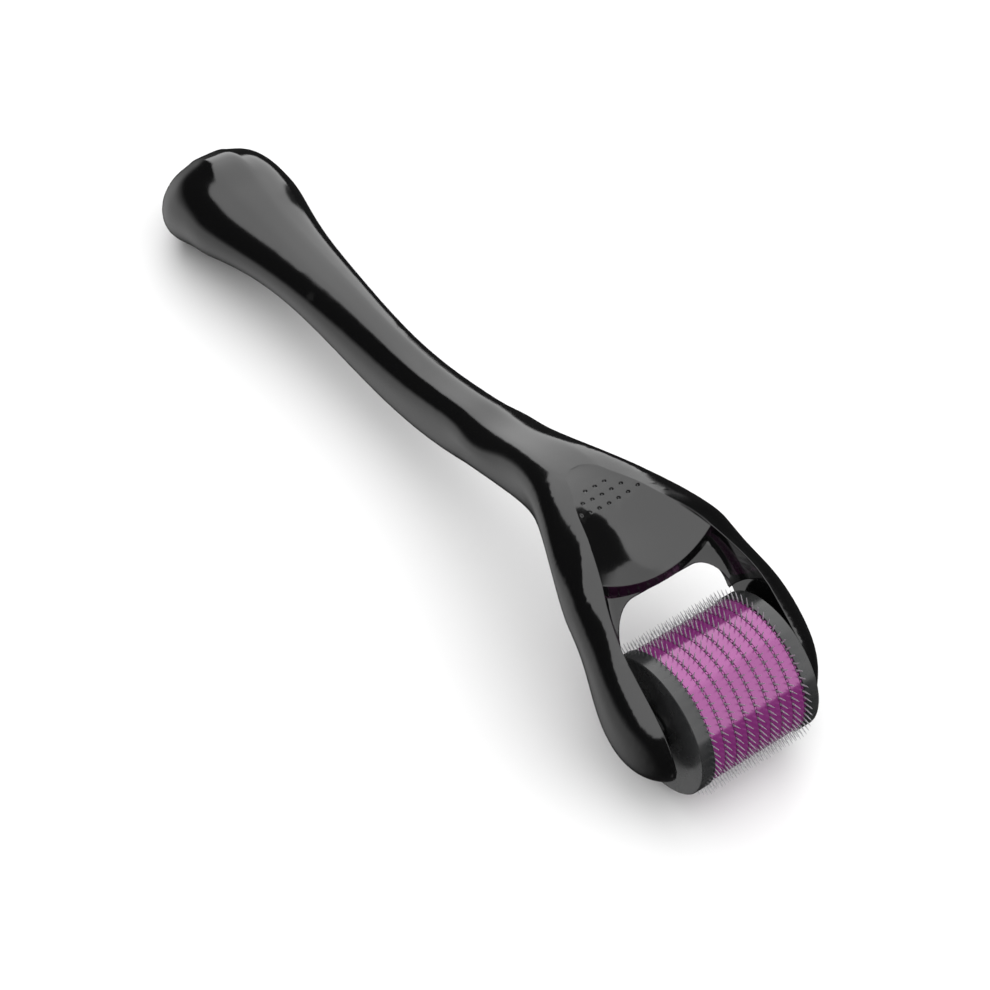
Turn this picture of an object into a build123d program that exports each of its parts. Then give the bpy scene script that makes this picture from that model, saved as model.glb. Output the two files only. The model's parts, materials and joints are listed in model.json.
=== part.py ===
from build123d import *
from math import cos, pi, sin
import os

os.makedirs("parts", exist_ok=True)

# Derma roller, millimetres. X runs across the roller along the axle, Y runs along the length with the
# butt towards +Y, and Z is up. The origin is on the floor, under the middle of the length. The roller
# lies as it rests on a table: on the tips of its needles and on the underside of the butt.

# Needle drum
drum_radius = 9.9
needle_length = 1.5
tip_radius = drum_radius + needle_length
row_count = 9
needles_per_row = 60
row_pitch = 1.9
disc_thickness = 0.2
needle_base_width = 0.36
needle_root_radius = drum_radius - 0.3
needle_reach = tip_radius - needle_root_radius
flange_radius = 10.15
flange_width = 2.1
flange_edge = 0.12
rows_half_width = row_pitch * (row_count - 1) / 2
stack_gap = 0.02
spacer_width = row_pitch - disc_thickness - 2 * stack_gap
spacer_edge = 0.08
cap_inner_face = rows_half_width + disc_thickness / 2 + stack_gap
cap_outer_face = cap_inner_face + flange_width

# Keyed core and axle
core_flats = 11.0
key_fit = 0.05
axle_radius = 1.25
axle_running_fit = 0.06
axle_half_length = 13.8
axle_end_chamfer = 0.2
spigot_radius = 4.2
spigot_depth = 1.6
spigot_fit = 0.05

# Handle, measured along Y from the axle and up from the floor
butt_reach = 132.2
overall_length = tip_radius + butt_reach
axle_y = tip_radius - overall_length / 2
axle_height = tip_radius

# Each section: distance from the axle, half width, underside, widest height, top, and how square the
# outline is above and below its widest height (2 is an ellipse)
handle_sections = [
    (-7.2, 12.3, 8.4, 10.3, 12.2, 2.3, 2.3),
    (-6.2, 13.1, 5.6, 10.3, 15.0, 2.5, 2.5),
    (-3.6, 14.9, 3.8, 10.95, 18.1, 2.6, 2.6),
    (0.5, 15.9, 3.8, 12.5, 21.2, 2.7, 2.7),
    (6.0, 15.4, 7.7, 16.25, 24.8, 2.7, 2.7),
    (12.0, 13.95, 14.0, 20.2, 27.6, 2.45, 2.45),
    (18.0, 12.55, 17.8, 23.2, 28.95, 2.25, 2.35),
    (24.0, 10.1, 18.9, 24.95, 28.9, 1.85, 2.15),
    (30.0, 7.55, 18.1, 24.25, 27.9, 2.8, 2.0),
    (36.0, 5.75, 16.7, 21.8, 26.3, 3.8, 2.25),
    (44.0, 5.3, 14.15, 19.0, 23.15, 3.03, 2.2),
    (54.0, 4.75, 10.5, 15.15, 20.05, 3.03, 2.38),
    (66.0, 4.6, 7.2, 11.85, 17.1, 2.91, 2.49),
    (80.0, 4.8, 6.25, 10.9, 15.95, 2.37, 2.34),
    (94.0, 5.5, 6.65, 11.5, 15.65, 2.3, 2.15),
    (104.0, 6.65, 5.85, 11.4, 15.6, 2.05, 2.06),
    (112.0, 8.35, 4.0, 10.7, 16.1, 2.03, 1.94),
    (119.0, 9.65, 1.5, 9.5, 16.8, 2.12, 1.87),
    (124.0, 10.0, 0.3, 8.45, 17.05, 1.93, 2.09),
    (128.0, 9.45, 0.15, 7.3, 15.2, 1.94, 2.36),
    (130.6, 7.4, 1.05, 6.7, 12.6, 2.1, 2.2),
    (131.8, 5.0, 2.5, 6.4, 10.4, 2.1, 2.1),
    (butt_reach, 2.6, 4.3, 6.3, 8.4, 2.0, 2.0),
]
quarter_points = 5

# Fork
arm_inner = 11.65
arm_front = 20.0
boss_radius = 3.2
boss_gap = 0.15
flange_clearance = 1.0
needle_clearance = 0.7
needle_zone = 8.6

# Front wall under the lip and the sloping deck below it, as distance from the axle and height
wall_foot = (13.1, 24.0)
lip_centre_distance = 11.6
deck_window = (11.3, 22.5)
deck_foot = (8.0, 18.5)
deck_end = (-7.0, 0.0)
sky_height = 40.0
lip_corner_half = 9.0
inner_edge = [(10.6, 9.0), (11.43, 5.5)]
inner_edge_end = 2.5
deck_blend = 2.2
deck_blend_from = 12.0
deck_blend_side = 1.0

# Window: an arch through the deck, which is a thin web, with the underside of the head hollow behind it
window_half_width = 9.3
window_corner = 4.5
web_thickness = 1.4
window_top = 22.85
pocket_half_width = 11.2
pocket_back = 19.5
pocket_corner = 3.0
pocket_floor = -1.0

# Thumb dish, each section: distance from the axle, half width, rim height, floor height
dish_sections = [
    (9.0, 11.4, 25.4, 24.5),
    (13.0, 9.0, 26.7, 25.2),
    (17.0, 7.5, 27.9, 26.1),
    (21.5, 6.2, 28.4, 27.05),
    (24.6, 5.4, 28.4, 27.75),
    (26.8, 4.5, 28.35, 27.95),
    (28.8, 3.3, 28.15, 27.85),
    (31.2, 0.9, 27.65, 27.55),
]
dish_squareness = 2.2
dish_points = 8
dish_headroom = 6.0

# Grip dots in the dish: dots in a row and its distance from the axle
dot_rows = [(3, 26.7), (5, 25.1), (7, 23.5)]
dot_spacing = 1.57
dot_radius = 0.26


def place(distance, height):
    """Point on the middle plane, from its distance behind the axle and its height above the floor."""
    return (0, axle_y + distance, height)


def cross_plane(distance, height=0.0):
    """Plane across the handle: its local x is world X and its local y is world Z."""
    return Plane(origin=place(distance, height), x_dir=(1, 0, 0), z_dir=(0, -1, 0))


def side_plane(offset=0.0):
    """Plane along the handle: its local x is the distance behind the axle, its local y the height."""
    return Plane(origin=(offset, axle_y, 0), x_dir=(0, 1, 0), z_dir=(1, 0, 0))


def axle_plane(offset):
    """Plane square to the axle, centred on it."""
    return Plane(origin=(offset, axle_y, axle_height), x_dir=(0, 1, 0), z_dir=(1, 0, 0))


def quarter_outline(half_width, middle, end, squareness):
    """Points of a quarter superellipse, from its widest point to its end on the middle plane."""
    points = []
    for step in range(quarter_points + 1):
        turn = pi / 2 * step / quarter_points
        across = half_width * cos(turn) ** (2 / squareness) if step < quarter_points else 0
        points.append((across, middle + (end - middle) * sin(turn) ** (2 / squareness)))
    return points


def half_outline(half_width, low, middle, high, square_above, square_below):
    """Points of the +X half of a section, from its lowest point to its highest."""
    lower = quarter_outline(half_width, middle, low, square_below)
    upper = quarter_outline(half_width, middle, high, square_above)
    return lower[:0:-1] + upper


def dish_drop(part_of_width, depth):
    """Depth of the dish below its rim, at a part of its half width."""
    return depth * (1 - abs(part_of_width) ** dish_squareness)


def dish_height(across, distance):
    """Height of the dish's surface, from its two nearest sections."""
    for near, far in zip(dish_sections, dish_sections[1:]):
        if near[0] <= distance <= far[0]:
            share = (distance - near[0]) / (far[0] - near[0])
            half_width, rim, floor = [a + share * (b - a) for a, b in zip(near[1:], far[1:])]
            return rim - dish_drop(across / half_width, rim - floor)
    raise ValueError("outside the dish")


def spacer_ring(name, offset):
    """Ring on the keyed core, centred at an offset along the axle."""
    with BuildPart() as ring:
        with BuildSketch(axle_plane(offset - spacer_width / 2)):
            Circle(drum_radius)
            RegularPolygon(core_flats / 2 + key_fit, 6, major_radius=False, mode=Mode.SUBTRACT)
        extrude(amount=spacer_width)
        chamfer(ring.edges().filter_by(GeomType.CIRCLE), spacer_edge)
    ring.part.label = name
    export_step(ring.part, f"parts/{name}.step")


def needle_disc(name, offset):
    """Stamped disc with a row of needles around its rim."""
    with BuildPart() as disc:
        with BuildSketch(axle_plane(offset - disc_thickness / 2)):
            Circle(needle_root_radius + disc_thickness)
            with PolarLocations(needle_root_radius, needles_per_row):
                Polygon(
                    (0, -needle_base_width / 2),
                    (needle_reach, 0),
                    (0, needle_base_width / 2),
                    align=None,
                )
            RegularPolygon(core_flats / 2 + key_fit, 6, major_radius=False, mode=Mode.SUBTRACT)
        extrude(amount=disc_thickness)
    disc.part.label = name
    export_step(disc.part, f"parts/{name}.step")


def end_cap(name, side):
    """Flange that closes one end of the drum, with a hub that runs on the axle."""
    with BuildPart() as cap:
        with BuildSketch(axle_plane(side * cap_inner_face)):
            Circle(flange_radius)
        extrude(amount=side * flange_width)
        outer_rim = cap.edges().filter_by(GeomType.CIRCLE).group_by(Axis.X)[-1 if side > 0 else 0]
        chamfer(outer_rim, flange_edge)
        with BuildSketch(axle_plane(side * cap_inner_face)):
            Circle(spigot_radius - spigot_fit)
        extrude(amount=-side * (spigot_depth - spigot_fit))
        with BuildSketch(axle_plane(side * (cap_inner_face - spigot_depth))):
            Circle(axle_radius + axle_running_fit)
        extrude(amount=side * (flange_width + spigot_depth), mode=Mode.SUBTRACT)
    cap.part.label = name
    export_step(cap.part, f"parts/{name}.step")


# Drum core: six-sided tube that the discs and spacers slide on, counterbored for the cap spigots
core_half = rows_half_width + disc_thickness / 2
with BuildPart() as drum_core:
    with BuildSketch(axle_plane(-core_half)):
        RegularPolygon(core_flats / 2, 6, major_radius=False)
        Circle(axle_radius + axle_running_fit, mode=Mode.SUBTRACT)
    extrude(amount=2 * core_half)
    for side in (-1, 1):
        with BuildSketch(axle_plane(side * core_half)):
            Circle(spigot_radius)
        extrude(amount=-side * spigot_depth, mode=Mode.SUBTRACT)
drum_core.part.label = "drum_core"
export_step(drum_core.part, "parts/drum_core.step")

# Needle rows and the rings between them, counted from -X
for row in range(row_count):
    needle_disc(f"needle_disc_{row + 1}", row_pitch * row - rows_half_width)
for row in range(row_count - 1):
    spacer_ring(f"spacer_ring_{row + 1}", row_pitch * (row + 0.5) - rows_half_width)

end_cap("end_cap_left", -1)
end_cap("end_cap_right", 1)

# Axle: steel pin from arm to arm
with BuildPart() as axle:
    with BuildSketch(axle_plane(-axle_half_length)):
        Circle(axle_radius)
    extrude(amount=2 * axle_half_length)
    chamfer(axle.edges(), axle_end_chamfer)
axle.part.label = "axle"
export_step(axle.part, "parts/axle.step")

# Space between the arms: everything above the sloping deck and in front of the dish's lip
with BuildPart() as bay:
    with BuildSketch(side_plane(-arm_inner)):
        with BuildLine():
            ThreePointArc(wall_foot, deck_window, deck_foot)
            Polyline(deck_foot, deck_end, (-arm_front, deck_end[1]), (-arm_front, sky_height),
                     (wall_foot[0], sky_height), wall_foot)
        make_face()
    extrude(amount=2 * arm_inner)
    with BuildSketch(Plane(origin=place(0, 0), x_dir=(1, 0, 0), z_dir=(0, 0, 1))):
        with BuildLine():
            corner = (lip_corner_half, wall_foot[0])
            edge_end = (arm_inner, inner_edge_end)
            Line((0, -arm_front), (arm_inner, -arm_front))
            Line((arm_inner, -arm_front), edge_end)
            Spline(edge_end, *reversed(inner_edge), corner)
            ThreePointArc(corner, (0, lip_centre_distance), (-lip_corner_half, wall_foot[0]))
            Spline((-arm_inner, inner_edge_end), *[(-x, y) for x, y in reversed(inner_edge)],
                   (-lip_corner_half, wall_foot[0]))
            Line((-arm_inner, inner_edge_end), (-arm_inner, -arm_front))
            Line((-arm_inner, -arm_front), (0, -arm_front))
        make_face()
    extrude(amount=sky_height, mode=Mode.INTERSECT)
    deck_edges = bay.edges().filter_by(GeomType.BSPLINE).filter_by(
        lambda edge: abs((edge @ 0.5).X) > deck_blend_side
        and deck_blend_from < (edge @ 0.5).Z < wall_foot[1])
    fillet(deck_edges, deck_blend)

# Hollow underside of the head, behind the web
with BuildPart() as pocket:
    with BuildSketch(side_plane(-pocket_half_width)):
        Polygon(
            (deck_window[0] + web_thickness, window_top),
            (pocket_back, window_top),
            (pocket_back, pocket_floor),
            (deck_end[0] + web_thickness, pocket_floor),
            (deck_foot[0] + web_thickness, deck_foot[1]),
            align=None,
        )
    extrude(amount=2 * pocket_half_width)
    fillet(pocket.edges().filter_by(Axis.Z).group_by(Axis.Y)[-1], pocket_corner)

# Thumb dish, as the solid that is cut away
with BuildPart() as dish:
    for distance, half_width, rim, floor in dish_sections:
        with BuildSketch(cross_plane(distance)):
            with BuildLine():
                hollow = []
                for step in range(dish_points + 1):
                    part_of_width = -cos(pi * step / dish_points)
                    hollow.append((half_width * part_of_width, rim - dish_drop(part_of_width, rim - floor)))
                Spline(*hollow)
                Polyline(hollow[-1], (half_width, rim + dish_headroom), (-half_width, rim + dish_headroom),
                         hollow[0])
            make_face()
    loft()

# Handle: one moulding with its fork, dish, window and axle sockets
with BuildPart() as handle:
    for distance, *shape in handle_sections:
        with BuildSketch(cross_plane(distance)):
            with BuildLine():
                right_half = Spline(*half_outline(*shape), tangents=[(1, 0), (-1, 0)])
                mirror(right_half, about=Plane.YZ)
            make_face()
    loft()
    add(bay.part, mode=Mode.SUBTRACT)
    add(pocket.part, mode=Mode.SUBTRACT)
    with BuildSketch(cross_plane(pocket_back)) as arch:
        with Locations((0, window_top)):
            Rectangle(2 * window_half_width, 2 * window_top, align=(Align.CENTER, Align.MAX))
        fillet(arch.vertices().group_by(Axis.Z)[-1], window_corner)
    extrude(amount=pocket_back + arm_front, mode=Mode.SUBTRACT)
    with BuildSketch(axle_plane(-arm_inner)):
        Circle(flange_radius + flange_clearance)
    extrude(amount=2 * arm_inner, mode=Mode.SUBTRACT)
    with BuildSketch(axle_plane(-needle_zone)):
        Circle(tip_radius + needle_clearance)
    extrude(amount=2 * needle_zone, mode=Mode.SUBTRACT)
    for side in (-1, 1):
        with BuildSketch(axle_plane(side * (cap_outer_face + boss_gap))):
            Circle(boss_radius)
        extrude(amount=side * (arm_inner - cap_outer_face))
    with BuildSketch(axle_plane(-axle_half_length)):
        Circle(axle_radius)
    extrude(amount=2 * axle_half_length, mode=Mode.SUBTRACT)
    add(dish.part, mode=Mode.SUBTRACT)
    for count, distance in dot_rows:
        for index in range(count):
            across = dot_spacing * (index - (count - 1) / 2)
            with Locations((across, axle_y + distance, dish_height(across, distance))):
                Sphere(dot_radius, mode=Mode.SUBTRACT)
handle.part.label = "handle"
export_step(handle.part, "parts/handle.step")
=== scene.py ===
import json
from math import cos, pi, radians, sin

import bmesh
import bpy
from mathutils import Matrix, Vector


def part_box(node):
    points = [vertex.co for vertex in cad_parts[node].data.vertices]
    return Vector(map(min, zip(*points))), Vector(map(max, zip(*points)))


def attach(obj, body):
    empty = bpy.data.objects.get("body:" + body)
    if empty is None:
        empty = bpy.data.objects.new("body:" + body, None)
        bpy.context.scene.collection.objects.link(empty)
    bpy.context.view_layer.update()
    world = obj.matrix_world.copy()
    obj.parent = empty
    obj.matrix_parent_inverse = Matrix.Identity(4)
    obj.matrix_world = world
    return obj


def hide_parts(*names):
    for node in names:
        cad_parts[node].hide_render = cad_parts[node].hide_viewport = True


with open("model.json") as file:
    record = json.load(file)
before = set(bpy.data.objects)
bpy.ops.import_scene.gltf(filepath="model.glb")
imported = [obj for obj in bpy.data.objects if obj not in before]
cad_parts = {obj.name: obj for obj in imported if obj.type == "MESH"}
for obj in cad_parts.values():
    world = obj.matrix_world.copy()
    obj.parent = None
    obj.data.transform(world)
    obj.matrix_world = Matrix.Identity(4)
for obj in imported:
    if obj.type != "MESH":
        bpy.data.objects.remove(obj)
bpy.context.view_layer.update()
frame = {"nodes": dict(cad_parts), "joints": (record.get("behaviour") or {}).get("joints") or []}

# The looks of the derma roller: materials on the CAD nodes, fine needles in place of the plain needle
# discs, a white table and three soft lights. Everything is in metres, in the CAD model's frame.

MM = 0.001
nodes = frame["nodes"]
scene = bpy.context.scene
collection = scene.collection

# The drum's axle, from the joint that it spins on
drum_centre = Vector(frame["joints"][0]["pos_m"])

# Rows of the drum, read from the names of its nodes
row_names = sorted(name for name in nodes if name.startswith("needle_disc_"))
ring_names = sorted(name for name in nodes if name.startswith("spacer_ring_"))
cap_names = ("end_cap_left", "end_cap_right")
drum_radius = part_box(ring_names[0])[1].z - drum_centre.z
tip_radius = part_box(row_names[0])[1].z - drum_centre.z
needles_per_row = 60


# ---------------------------------------------------------------- camera

# The camera's right and the way it looks, on the floor, and the middle of its picture, to the right of
# the drum and above it in the picture
VIEW_RIGHT = Vector((0.8142, -0.5806, 0.0))
VIEW_ALONG = Vector((0.5806, 0.8142, 0.0))
CAMERA_ELEVATION = radians(48.3)
CAMERA_DISTANCE = 0.3312
CAMERA_FROM_DRUM = (-0.02881, 0.02606)
LENS = 90.91
SENSOR = 36.0
CLIP_START = 0.01
CLIP_END = 50


def add_camera():
    """Looks along the roller from the front left and above, at the middle of the picture."""
    forward = VIEW_ALONG * cos(CAMERA_ELEVATION) - Vector((0, 0, sin(CAMERA_ELEVATION)))
    up = VIEW_RIGHT.cross(forward)
    across, above = CAMERA_FROM_DRUM
    target = drum_centre + VIEW_RIGHT * across + up * above
    data = bpy.data.cameras.new("camera")
    data.lens = LENS
    data.sensor_width = SENSOR
    data.clip_start = CLIP_START
    data.clip_end = CLIP_END
    camera = bpy.data.objects.new("camera", data)
    turn = Matrix((VIEW_RIGHT, up, -forward)).transposed().to_4x4()
    camera.matrix_world = Matrix.Translation(target - forward * CAMERA_DISTANCE) @ turn
    collection.objects.link(camera)
    scene.camera = camera


# ---------------------------------------------------------------- lights, table and sky

# The lights are laid out in rig heights around the roller
RIG_HEIGHT = 0.7
TENT_LEFT = -0.68
TENT_RIGHT = 0.53
TENT_NEAR = -2.5
TENT_BACK = 1.6

# A light tent: a roof, a back wall in line with it, and a slanted front wall on the right. For each
# panel: one corner, the two corners beside it, and the radiance
PANELS = {
    "roof_light": (
        (TENT_LEFT, TENT_NEAR, 1.0), (TENT_RIGHT, TENT_NEAR, 1.0), (TENT_LEFT, TENT_BACK, 1.0), 2.6,
    ),
    "back_light": (
        (TENT_LEFT, TENT_BACK, 0.05), (TENT_RIGHT, TENT_BACK, 0.05), (TENT_LEFT, TENT_BACK, 1.0), 2.4,
    ),
    "front_light": (
        (1.8, 0.5, 0.06), (1.8, -2.3, 0.06), (TENT_RIGHT, 0.5, 1.0), 1.9,
    ),
}


def rig_point(across, along, height):
    """A place in the light rig: to the camera's right, away from it, and up, in rig heights."""
    return (VIEW_RIGHT * across + VIEW_ALONG * along + Vector((0, 0, height))) * RIG_HEIGHT


def soft_light(name, corner, side, rise, radiance):
    """A rectangular soft light from one corner and its two sides, facing the roller."""
    width, height = side.length, rise.length
    data = bpy.data.lights.new(name, "AREA")
    data.shape = "RECTANGLE"
    data.size = width
    data.size_y = height
    data.energy = radiance * pi * width * height
    light = bpy.data.objects.new(name, data)
    centre = corner + side / 2 + rise / 2
    x = side.normalized()
    y = rise.normalized()
    z = x.cross(y)
    if z.dot(centre) < 0:
        x = -x
        z = -z
    light.matrix_world = Matrix.Translation(centre) @ Matrix((x, y, z)).transposed().to_4x4()
    collection.objects.link(light)


def add_lights():
    for name, (first, second, third, radiance) in PANELS.items():
        corner = rig_point(*first)
        soft_light(name, corner, rig_point(*second) - corner, rig_point(*third) - corner, radiance)


# The glow of the white table on the left side of the roller: how far to the left and how far below the
# horizon a direction lies where the glow starts and where it is full. The rest of the sky is dark
GLOW_LEFT = (0.15, 0.95)
GLOW_BELOW = (-0.20, 0.15)
GLOW_STRENGTH = 1.05
DARK = 0.03


def add_sky():
    """Dark in the reflections, but for the table's glow at the lower left, and white to the camera."""
    world = bpy.data.worlds.new("studio")
    world.use_nodes = True
    tree = world.node_tree
    tree.nodes.clear()
    direction = tree.nodes.new("ShaderNodeTexCoord").outputs["Generated"]

    def fade(towards, limits, strength):
        dot = tree.nodes.new("ShaderNodeVectorMath")
        dot.operation = "DOT_PRODUCT"
        dot.inputs[1].default_value = towards
        tree.links.new(direction, dot.inputs[0])
        return ramp(tree, dot.outputs["Value"], 0.0, strength, *limits)

    glow = tree.nodes.new("ShaderNodeMath")
    glow.operation = "MULTIPLY_ADD"
    glow.inputs[2].default_value = DARK
    tree.links.new(fade(-VIEW_RIGHT, GLOW_LEFT, GLOW_STRENGTH), glow.inputs[0])
    tree.links.new(fade(Vector((0, 0, -1)), GLOW_BELOW, 1.0), glow.inputs[1])
    studio = tree.nodes.new("ShaderNodeBackground")
    tree.links.new(glow.outputs["Value"], studio.inputs["Strength"])
    white = tree.nodes.new("ShaderNodeBackground")
    path = tree.nodes.new("ShaderNodeLightPath")
    mix = tree.nodes.new("ShaderNodeMixShader")
    out = tree.nodes.new("ShaderNodeOutputWorld")
    for background in (studio, white):
        background.inputs["Color"].default_value = (1, 1, 1, 1)
    tree.links.new(path.outputs["Is Camera Ray"], mix.inputs["Fac"])
    tree.links.new(studio.outputs["Background"], mix.inputs[1])
    tree.links.new(white.outputs["Background"], mix.inputs[2])
    tree.links.new(mix.outputs["Shader"], out.inputs["Surface"])
    scene.world = world


TABLE_RADIUS = 0.5
TABLE_SIDES = 96
TABLE_COLOUR = (0.70, 0.70, 0.70)
TABLE_ROUGHNESS = 0.9


def add_table():
    """A round white table, left out of the reflections, where the sky's glow stands for it."""
    mesh = bpy.data.meshes.new("table")
    shape = bmesh.new()
    bmesh.ops.create_circle(shape, cap_ends=True, segments=TABLE_SIDES, radius=TABLE_RADIUS)
    shape.to_mesh(mesh)
    shape.free()
    table = bpy.data.objects.new("table", mesh)
    collection.objects.link(table)
    material, tree, surface = new_material("white_table")
    surface.inputs["Base Color"].default_value = (*TABLE_COLOUR, 1)
    surface.inputs["Roughness"].default_value = TABLE_ROUGHNESS
    surface.inputs["Specular IOR Level"].default_value = 0.0
    table.data.materials.append(material)
    table.visible_glossy = False
    table.visible_shadow = False


# ---------------------------------------------------------------- materials

PLASTIC_IOR = 1.5

# Where convex edges start to look worn, and where they are fully worn
WORN_POINTINESS = (0.52, 0.62)

# Polished black moulding. Its shading rounds over edges and facets: finely at the head, with its lip and
# dots, and widely on the grip, from one distance behind the axle to the next
BLACK = (0.0024, 0.0024, 0.0025)
BLACK_WORN = (0.008, 0.008, 0.008)
BLACK_ROUGHNESS = (0.075, 0.12)
BLACK_PEEL = 0.004 * MM
HEAD_ROUNDING = 0.22 * MM
GRIP_ROUNDING = 1.7 * MM
ROUNDING_GROWS = (31 * MM, 40 * MM)
ROUNDING_SAMPLES = 16

# Satin black caps
CAP = (0.010, 0.011, 0.012)
CAP_WORN = (0.025, 0.025, 0.025)
CAP_ROUGHNESS = (0.2, 0.3)
CAP_GRAIN = 0.01 * MM

# Pearly purple plastic
PURPLE_DARK = (0.115, 0.012, 0.090)
PURPLE_LIGHT = (0.150, 0.020, 0.120)
PURPLE_TINT = (1.0, 0.50, 0.86)
PURPLE_ROUGHNESS = (0.10, 0.17)
PURPLE_IOR = 2.05
PURPLE_PEEL = 0.004 * MM
CORE_SHADE = 0.7

# Steel: the spread of its roughness is in shares of the roughness asked for
STEEL_DARK = (0.55, 0.55, 0.57)
STEEL_LIGHT = (0.78, 0.78, 0.80)
STEEL_SPREAD = (0.8, 1.3)
STEEL_MARKS = 0.003 * MM


def new_material(name):
    """A new material with its node tree and its surface shader."""
    material = bpy.data.materials.new(name)
    material.use_nodes = True
    tree = material.node_tree
    return material, tree, tree.nodes["Principled BSDF"]


def noise(tree, scale, detail=3.0, roughness=0.5, stretch=None):
    """Noise in object space, in cells per metre, stretched along an axis where that is given."""
    place = tree.nodes.new("ShaderNodeTexCoord").outputs["Object"]
    if stretch:
        mapping = tree.nodes.new("ShaderNodeMapping")
        mapping.inputs["Scale"].default_value = stretch
        tree.links.new(place, mapping.inputs["Vector"])
        place = mapping.outputs["Vector"]
    texture = tree.nodes.new("ShaderNodeTexNoise")
    texture.inputs["Scale"].default_value = scale
    texture.inputs["Detail"].default_value = detail
    texture.inputs["Roughness"].default_value = roughness
    tree.links.new(place, texture.inputs["Vector"])
    return texture.outputs["Fac"]


def ramp(tree, value, low, high, start=0.3, end=0.7):
    """The value mapped onto a range of numbers."""
    node = tree.nodes.new("ShaderNodeMapRange")
    node.interpolation_type = "SMOOTHSTEP"
    node.inputs["From Min"].default_value = start
    node.inputs["From Max"].default_value = end
    node.inputs["To Min"].default_value = low
    node.inputs["To Max"].default_value = high
    tree.links.new(value, node.inputs["Value"])
    return node.outputs["Result"]


def blend_colours(tree, factor, low, high):
    """The factor mapped onto a range of colours."""
    node = tree.nodes.new("ShaderNodeMix")
    node.data_type = "RGBA"
    node.inputs["A"].default_value = (*low, 1)
    node.inputs["B"].default_value = (*high, 1)
    tree.links.new(factor, node.inputs["Factor"])
    return node.outputs["Result"]


def bump(tree, surface, height, distance, strength, before=None):
    """Relief on the surface, over the normal before it where one is given."""
    node = tree.nodes.new("ShaderNodeBump")
    node.inputs["Strength"].default_value = strength
    node.inputs["Distance"].default_value = distance
    tree.links.new(height, node.inputs["Height"])
    if before:
        tree.links.new(before, node.inputs["Normal"])
    tree.links.new(node.outputs["Normal"], surface.inputs["Normal"])


def edge_wear(tree):
    """1 on worn convex edges and 0 elsewhere."""
    pointiness = tree.nodes.new("ShaderNodeNewGeometry").outputs["Pointiness"]
    return ramp(tree, pointiness, 0.0, 1.0, *WORN_POINTINESS)


def edge_rounding(tree):
    """The normal rounded over edges and facets, more and more along the handle."""
    node = tree.nodes.new("ShaderNodeBevel")
    node.samples = ROUNDING_SAMPLES
    along = tree.nodes.new("ShaderNodeSeparateXYZ")
    tree.links.new(tree.nodes.new("ShaderNodeTexCoord").outputs["Object"], along.inputs["Vector"])
    start, end = [drum_centre.y + behind for behind in ROUNDING_GROWS]
    radius = ramp(tree, along.outputs["Y"], HEAD_ROUNDING, GRIP_ROUNDING, start, end)
    tree.links.new(radius, node.inputs["Radius"])
    return node.outputs["Normal"]


def gloss_black():
    """Polished black moulding: faint orange peel, slight smears and rubbed edges."""
    material, tree, surface = new_material("gloss_black_moulding")
    smears = noise(tree, scale=90, detail=5, roughness=0.6, stretch=(1, 0.35, 1))
    colour = blend_colours(tree, edge_wear(tree), BLACK, BLACK_WORN)
    tree.links.new(colour, surface.inputs["Base Color"])
    tree.links.new(ramp(tree, smears, *BLACK_ROUGHNESS), surface.inputs["Roughness"])
    surface.inputs["IOR"].default_value = PLASTIC_IOR
    peel = noise(tree, scale=420, detail=2)
    bump(tree, surface, peel, distance=BLACK_PEEL, strength=0.5, before=edge_rounding(tree))
    return material


def cap_black():
    """Satin black cap: a little rougher than the handle, with fine moulding texture."""
    material, tree, surface = new_material("satin_black_cap")
    colour = blend_colours(tree, edge_wear(tree), CAP, CAP_WORN)
    tree.links.new(colour, surface.inputs["Base Color"])
    tree.links.new(ramp(tree, noise(tree, scale=300), *CAP_ROUGHNESS), surface.inputs["Roughness"])
    surface.inputs["IOR"].default_value = PLASTIC_IOR
    bump(tree, surface, noise(tree, scale=2600), distance=CAP_GRAIN, strength=0.4)
    return material


def purple_plastic(name, shade=1.0):
    """Pearly purple plastic with a tinted gloss and slightly clouded colour."""
    material, tree, surface = new_material(name)
    cloud = noise(tree, scale=260)
    dark = [channel * shade for channel in PURPLE_DARK]
    light = [channel * shade for channel in PURPLE_LIGHT]
    tree.links.new(blend_colours(tree, cloud, dark, light), surface.inputs["Base Color"])
    tree.links.new(ramp(tree, cloud, *PURPLE_ROUGHNESS), surface.inputs["Roughness"])
    surface.inputs["IOR"].default_value = PURPLE_IOR
    surface.inputs["Specular Tint"].default_value = (*PURPLE_TINT, 1)
    bump(tree, surface, noise(tree, scale=1500, detail=2), distance=PURPLE_PEEL, strength=0.5)
    return material


def steel(name, roughness, marks, stretch=(1, 1, 1), metallic=1.0, tone=1.0):
    """Steel with drawn or ground marks, in marks per metre, stretched along an axis."""
    material, tree, surface = new_material(name)
    lines = noise(tree, scale=marks, stretch=stretch)
    dark = [channel * tone for channel in STEEL_DARK]
    light = [channel * tone for channel in STEEL_LIGHT]
    low, high = [roughness * share for share in STEEL_SPREAD]
    tree.links.new(blend_colours(tree, lines, dark, light), surface.inputs["Base Color"])
    tree.links.new(ramp(tree, lines, low, high), surface.inputs["Roughness"])
    surface.inputs["Metallic"].default_value = metallic
    bump(tree, surface, lines, distance=STEEL_MARKS, strength=0.4)
    return material


def dress(node, material):
    """Puts the material on a CAD node."""
    slots = nodes[node].data.materials
    if slots:
        for index in range(len(slots)):
            slots[index] = material
    else:
        slots.append(material)


# ---------------------------------------------------------------- needles

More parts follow.
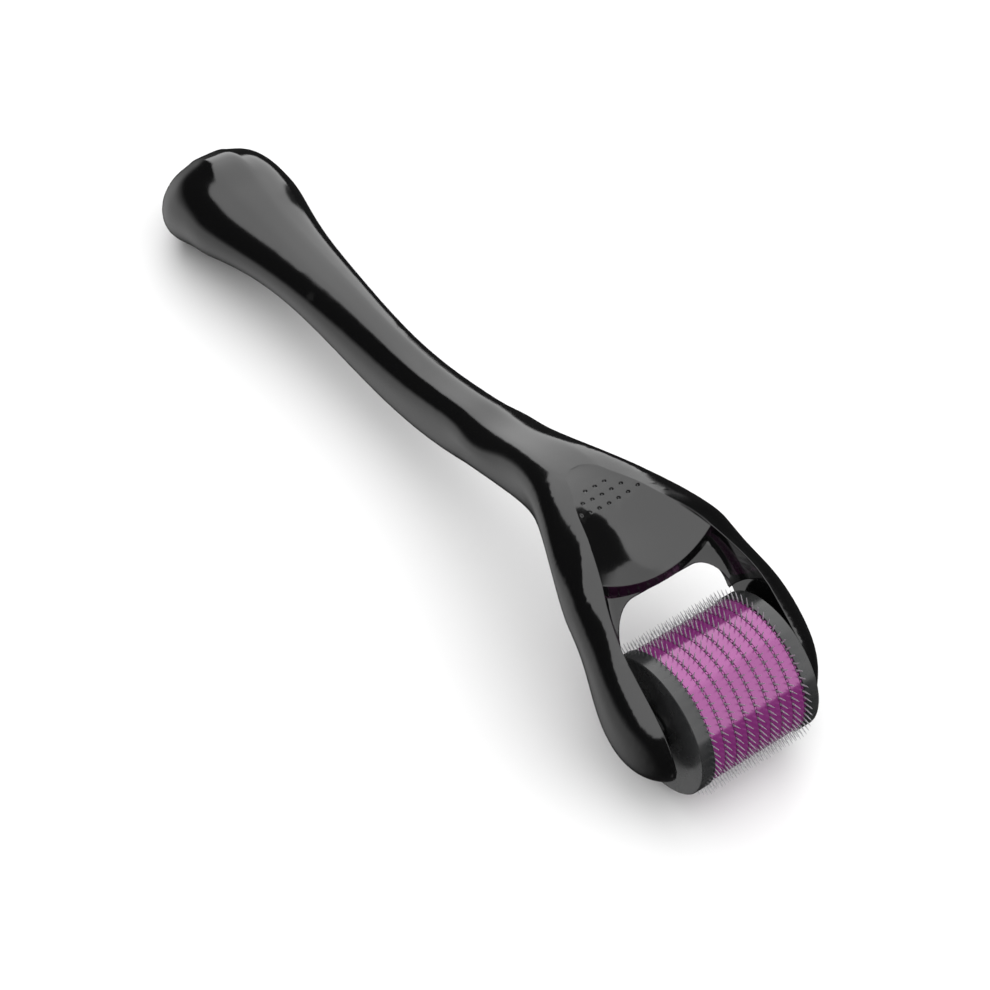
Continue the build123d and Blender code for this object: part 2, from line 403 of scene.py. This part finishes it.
# All sizes here are in millimetres. Each needle is a flat stamped tooth that starts under the drum's
# surface. Its sections: share of the needle's length from root to tip, half width along the row's
# circle, and half thickness along the axle
NEEDLE_ROOT = 0.35
NEEDLE_SECTIONS = (
    (0.00, 0.170, 0.090),
    (0.25, 0.145, 0.085),
    (0.45, 0.120, 0.080),
    (0.65, 0.095, 0.070),
    (0.84, 0.060, 0.050),
    (0.95, 0.030, 0.028),
    (1.00, 0.006, 0.006),
)
NEEDLE_FLAT = 0.35
TIP_CLEARANCE = 0.02

# The disc's ring under the needles, and the lands between them with the slots that the needles stand in
DISC_INNER = 6.4
DISC_OVERLAP = 0.05
LAND_DEPTH = 0.28
LAND_FIT = 0.015
SLOT_LENGTH = 0.66
needle_step = 2 * pi / needles_per_row


def ring_point(shape, x, radius, angle):
    """A corner at a distance from the drum's axis, on a plane across it."""
    return shape.verts.new((x, drum_centre.y - sin(angle) * radius, drum_centre.z + cos(angle) * radius))


def skin(shape, loops, closed=False):
    """Faces between neighbouring loops of corners, with a cap on each end unless the row closes."""
    pairs = list(zip(loops, loops[1:])) + ([(loops[-1], loops[0])] if closed else [])
    for lower, upper in pairs:
        for k in range(len(lower)):
            n = (k + 1) % len(lower)
            shape.faces.new((lower[k], lower[n], upper[n], upper[k]))
    if not closed:
        shape.faces.new(list(reversed(loops[0])))
        shape.faces.new(loops[-1])


def finish_piece(shape, name, material):
    """Turns the shape into a named piece that spins with the drum."""
    bmesh.ops.recalc_face_normals(shape, faces=shape.faces)
    mesh = bpy.data.meshes.new(name)
    shape.to_mesh(mesh)
    shape.free()
    piece = bpy.data.objects.new(name, mesh)
    collection.objects.link(piece)
    mesh.materials.append(material)
    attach(piece, "drum")
    return piece


def add_needle(shape, x, angle, root, tip):
    """A flat tooth with bevelled edges that narrows to a point."""
    loops = []
    for share, half_width, half_thick in NEEDLE_SECTIONS:
        radius = root + (tip - root) * share
        wide, thick = half_width * MM, half_thick * MM
        outline = [(thick, bevel * wide) for bevel in (-NEEDLE_FLAT, NEEDLE_FLAT)]
        outline += [(bevel * thick, wide) for bevel in (NEEDLE_FLAT, -NEEDLE_FLAT)]
        outline += [(-across, -along) for across, along in outline]
        loops.append([ring_point(shape, x + across, radius, angle + along / radius)
                      for across, along in outline])
    skin(shape, loops)


def needle_row(name, node, material):
    """A thin disc with a ring of fine pointed needles, in the place of its CAD node."""
    low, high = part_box(node)
    middle = (low.x + high.x) / 2
    root = drum_radius - NEEDLE_ROOT * MM
    rim = root + DISC_OVERLAP * MM
    tip = tip_radius - TIP_CLEARANCE * MM
    shape = bmesh.new()
    for index in range(needles_per_row):
        add_needle(shape, middle, index * needle_step, root, tip)
    corners = ((low.x, DISC_INNER * MM), (high.x, DISC_INNER * MM), (high.x, rim), (low.x, rim))
    loops = [[ring_point(shape, x, radius, index * needle_step) for x, radius in corners]
             for index in range(needles_per_row)]
    skin(shape, loops, closed=True)
    piece = finish_piece(shape, name, material)
    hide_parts(node)


def needle_lands(name, node, material):
    """The purple lands between a row's needles: each needle stands in a short dark slot."""
    low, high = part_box(node)
    left = low.x - LAND_FIT * MM
    right = high.x + LAND_FIT * MM
    inner = drum_radius - LAND_DEPTH * MM
    corners = ((left, inner), (right, inner), (right, drum_radius), (left, drum_radius))
    half_slot = SLOT_LENGTH * MM / drum_radius / 2
    shape = bmesh.new()
    for index in range(needles_per_row):
        start = index * needle_step + half_slot
        end = (index + 1) * needle_step - half_slot
        loops = [[ring_point(shape, x, radius, angle) for x, radius in corners]
                 for angle in (start, (start + end) / 2, end)]
        skin(shape, loops)
    finish_piece(shape, name, material)


# ---------------------------------------------------------------- assembly

def main():
    add_camera()
    add_sky()
    add_table()
    add_lights()
    dress("handle", gloss_black())
    cap_material = cap_black()
    for name in cap_names:
        dress(name, cap_material)
    purple = purple_plastic("purple_drum")
    dress("drum_core", purple_plastic("purple_core", CORE_SHADE))
    for name in ring_names:
        dress(name, purple)
    dress("axle", steel("axle_steel", roughness=0.22, marks=900, stretch=(0.05, 1, 1)))
    needle_material = steel("needle_steel", roughness=0.28, marks=4000, metallic=0.5, tone=0.6)
    for name in row_names:
        needle_row(name.replace("disc", "row"), name, needle_material)
        needle_lands(name.replace("disc", "lands"), name, purple)
    scene.view_settings.view_transform = "Standard"


main()
